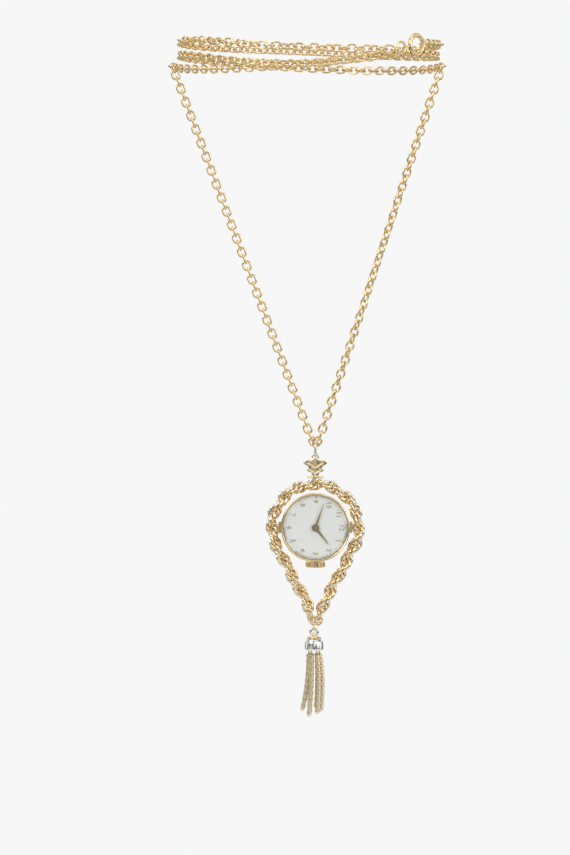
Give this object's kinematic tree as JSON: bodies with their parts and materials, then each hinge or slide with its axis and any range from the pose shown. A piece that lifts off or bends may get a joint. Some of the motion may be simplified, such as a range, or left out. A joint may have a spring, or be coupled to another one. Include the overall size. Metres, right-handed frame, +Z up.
{
  "type": "pendant watch",
  "caption": "Pendant watch on a looped cable chain: round domed watch in a drop-shaped rope frame with a leaf above and a tassel of woven strands below, closed by a spring ring clasp.",
  "frame": {"origin": "middle of the neck opening, just above the height where the two legs of the chain leave the neck", "axes": "+Z up along the hanging pendant, -Y to the front where the dial looks, +X to the viewer's right"},
  "size_m": [0.0924, 0.0814, 0.2275],
  "materials": {
    "chain_gold": "polished gold plate, a little worn",
    "bail_silver": "polished silver-toned plate",
    "leaf_gold": "polished gold plate, silver-toned on the edges",
    "rope_gold": "polished gold plate, worn to silver on the outside",
    "cap_silver": "polished silver-toned plate with a gold collar",
    "strand_gold": "fine woven champagne-gold wire",
    "case_gold": "polished gold plate",
    "crystal_clear": "clear, high domed, polished",
    "dial_silver": "silver-white sunburst",
    "hands_gold": "satin gold",
    "movement_plate": "matt gilt",
    "movement_brass": "polished brass",
    "movement_steel": "polished steel",
    "jewel_red": "clear red"
  },
  "bodies": {
    "necklace": {"first_back_strand": "chain_gold", "upper_front_strand": "chain_gold", "middle_back_strand": "chain_gold", "lower_front_strand": "chain_gold", "last_back_strand": "chain_gold", "joining_ring": "chain_gold", "clasp_ring": "chain_gold", "clasp_spring": "movement_steel"},
    "bolt": {"clasp_bolt": "chain_gold"},
    "legs": {"left_leg": "chain_gold", "right_leg": "chain_gold"},
    "bail": {"bail_ring": "bail_silver"},
    "pendant": {"leaf_charm": "leaf_gold", "rope_frame": "rope_gold", "frame_loop": "rope_gold", "side_lugs": "case_gold", "case_middle": "case_gold", "bezel": "case_gold", "crystal": "crystal_clear", "dial": "dial_silver", "movement_holder": "movement_plate", "main_plate": "movement_plate", "barrel_bridge": "movement_plate", "train_bridge": "movement_plate", "balance_cock": "movement_plate", "pallet_bridge": "movement_plate", "jewels": "jewel_red", "bridge_screws": "movement_steel"},
    "back_cover": {"case_back": "case_gold"},
    "minute_work": {"minute_hand": "hands_gold", "cannon_pinion": "movement_steel"},
    "hour_work": {"hour_hand": "hands_gold", "hour_wheel": "movement_brass"},
    "minute_gear": {"minute_wheel": "movement_brass"},
    "centre_gear": {"centre_wheel": "movement_brass"},
    "third_gear": {"third_wheel": "movement_brass"},
    "fourth_gear": {"fourth_wheel": "movement_brass"},
    "escape_gear": {"escape_wheel": "movement_steel"},
    "pallets": {"pallet_fork": "movement_steel"},
    "balance": {"balance_wheel": "movement_brass", "hairspring": "movement_steel"},
    "barrel": {"barrel_drum": "movement_brass", "barrel_cover": "movement_brass", "mainspring": "movement_steel"},
    "ratchet": {"barrel_arbor": "movement_steel", "ratchet_wheel": "movement_steel"},
    "crown_gear": {"crown_wheel": "movement_steel"},
    "clutch": {"clutch_wheel": "movement_steel", "winding_pinion": "movement_steel"},
    "winding_crown": {"crown": "case_gold", "winding_stem": "movement_steel"},
    "tassel_link": {"tassel_ring": "cap_silver"},
    "tassel_head": {"tassel_cap": "cap_silver", "tassel_hoop": "cap_silver"},
    "tassel_strand_1": {"strand_1": "strand_gold"},
    "tassel_strand_2": {"strand_2": "strand_gold"},
    "tassel_strand_3": {"strand_3": "strand_gold"},
    "tassel_strand_4": {"strand_4": "strand_gold"},
    "tassel_strand_5": {"strand_5": "strand_gold"},
    "tassel_strand_6": {"strand_6": "strand_gold"}
  },
  "joints": [
    {"name": "clasp_pull", "type": "hinge", "parent": "necklace", "child": "bolt", "pos_m": [0.03457, -0.02651, 0.0024], "axis": [-0.7085, 0.7057, 0], "range_deg": [0, 60], "stiffness_Nm_per_rad": 0.0001, "springref_deg": -17.19, "deforming": ["clasp_spring"]},
    {"name": "legs_swing", "type": "hinge", "parent": "necklace", "child": "legs", "pos_m": [0, 0, -0.0017], "axis": [-1, 0, 0], "range_deg": [-3, 60]},
    {"name": "bail_swing", "type": "hinge", "parent": "legs", "child": "bail", "pos_m": [0.0023, 0, -0.12798], "axis": [-1, 0, 0], "range_deg": [-20, 20]},
    {"name": "pendant_swing", "type": "hinge", "parent": "bail", "child": "pendant", "pos_m": [0.0023, 0, -0.1313], "axis": [0, -1, 0], "range_deg": [-15, 15]},
    {"name": "back_pull", "type": "slide", "parent": "pendant", "child": "back_cover", "axis": [0, 1, 0], "range_m": [0, 0.005]},
    {"name": "minute_turn", "type": "hinge", "parent": "pendant", "child": "minute_work", "pos_m": [0.0023, -0.0007, -0.1551], "axis": [0, -1, 0], "continuous": true},
    {"name": "hour_turn", "type": "hinge", "parent": "pendant", "child": "hour_work", "pos_m": [0.0023, -0.0007, -0.1551], "axis": [0, -1, 0], "continuous": true},
    {"name": "minute_gear_turn", "type": "hinge", "parent": "pendant", "child": "minute_gear", "pos_m": [0.0035, -0.0007, -0.15718], "axis": [0, -1, 0], "continuous": true},
    {"name": "fourth_turn", "type": "hinge", "parent": "pendant", "child": "fourth_gear", "pos_m": [0.008, -0.0007, -0.1562], "axis": [0, -1, 0], "continuous": true},
    {"name": "third_turn", "type": "hinge", "parent": "pendant", "child": "third_gear", "pos_m": [0.00529, -0.0007, -0.15719], "axis": [0, -1, 0], "continuous": true},
    {"name": "centre_turn", "type": "hinge", "parent": "pendant", "child": "centre_gear", "pos_m": [0.0023, -0.0007, -0.1551], "axis": [0, -1, 0], "continuous": true},
    {"name": "escape_turn", "type": "hinge", "parent": "pendant", "child": "escape_gear", "pos_m": [0.0075, -0.0007, -0.15336], "axis": [0, -1, 0], "continuous": true},
    {"name": "barrel_turn", "type": "hinge", "parent": "pendant", "child": "barrel", "pos_m": [-0.00203, -0.0007, -0.15626], "axis": [0, -1, 0], "continuous": true},
    {"name": "pallet_rock", "type": "hinge", "parent": "pendant", "child": "pallets", "pos_m": [0.00573, -0.0007, -0.15233], "axis": [0, -1, 0], "range_deg": [-4, 4]},
    {"name": "balance_swing", "type": "hinge", "parent": "pendant", "child": "balance", "pos_m": [0.00326, -0.0007, -0.15091], "axis": [0, -1, 0], "range_deg": [-135, 135], "stiffness_Nm_per_rad": 0.0000001, "deforming": ["hairspring"]},
    {"name": "ratchet_turn", "type": "hinge", "parent": "pendant", "child": "ratchet", "pos_m": [-0.00203, -0.0007, -0.15626], "axis": [0, -1, 0], "continuous": true},
    {"name": "crown_gear_turn", "type": "hinge", "parent": "pendant", "child": "crown_gear", "pos_m": [0.0023, -0.0007, -0.16064], "axis": [0, -1, 0], "continuous": true},
    {"name": "winding_turn", "type": "hinge", "parent": "pendant", "child": "clutch", "pos_m": [0.0023, 0, -0.161], "axis": [0, 0, -1], "continuous": true},
    {"name": "crown_pull", "type": "slide", "parent": "clutch", "child": "winding_crown", "axis": [0, 0, -1], "range_m": [0, 0.0008]},
    {"name": "tassel_link_swing", "type": "hinge", "parent": "pendant", "child": "tassel_link", "pos_m": [0.0019, 0, -0.18971], "axis": [0, -1, 0], "range_deg": [-15, 15]},
    {"name": "tassel_swing", "type": "hinge", "parent": "tassel_link", "child": "tassel_head", "pos_m": [0.0019, 0, -0.19124], "axis": [-1, 0, 0], "range_deg": [-20, 20]},
    {"name": "strand_1_swing", "type": "hinge", "parent": "tassel_head", "child": "tassel_strand_1", "pos_m": [0.0037, 0, -0.19487], "axis": [0, -1, 0], "range_deg": [0, 18]},
    {"name": "strand_2_swing", "type": "hinge", "parent": "tassel_head", "child": "tassel_strand_2", "pos_m": [0.0028, 0.00156, -0.19487], "axis": [0.866, -0.5, 0], "range_deg": [0, 18]},
    {"name": "strand_3_swing", "type": "hinge", "parent": "tassel_head", "child": "tassel_strand_3", "pos_m": [0.001, 0.00156, -0.19487], "axis": [0.866, 0.5, 0], "range_deg": [0, 18]},
    {"name": "strand_4_swing", "type": "hinge", "parent": "tassel_head", "child": "tassel_strand_4", "pos_m": [0.0001, 0, -0.19487], "axis": [0, 1, 0], "range_deg": [0, 18]},
    {"name": "strand_5_swing", "type": "hinge", "parent": "tassel_head", "child": "tassel_strand_5", "pos_m": [0.001, -0.00156, -0.19487], "axis": [-0.866, 0.5, 0], "range_deg": [0, 18]},
    {"name": "strand_6_swing", "type": "hinge", "parent": "tassel_head", "child": "tassel_strand_6", "pos_m": [0.0028, -0.00156, -0.19487], "axis": [-0.866, -0.5, 0], "range_deg": [0, 18]}
  ],
  "couplings": [
    {"joint": "hour_turn", "follows": "minute_turn", "ratio": 0.083333},
    {"joint": "minute_gear_turn", "follows": "minute_turn", "ratio": -0.33333},
    {"joint": "third_turn", "follows": "fourth_turn", "ratio": -0.13333},
    {"joint": "centre_turn", "follows": "fourth_turn", "ratio": 0.016667},
    {"joint": "barrel_turn", "follows": "fourth_turn", "ratio": -0.0030303},
    {"joint": "escape_turn", "follows": "fourth_turn", "ratio": -10},
    {"joint": "crown_gear_turn", "follows": "ratchet_turn", "ratio": -1.4062}
  ]
}
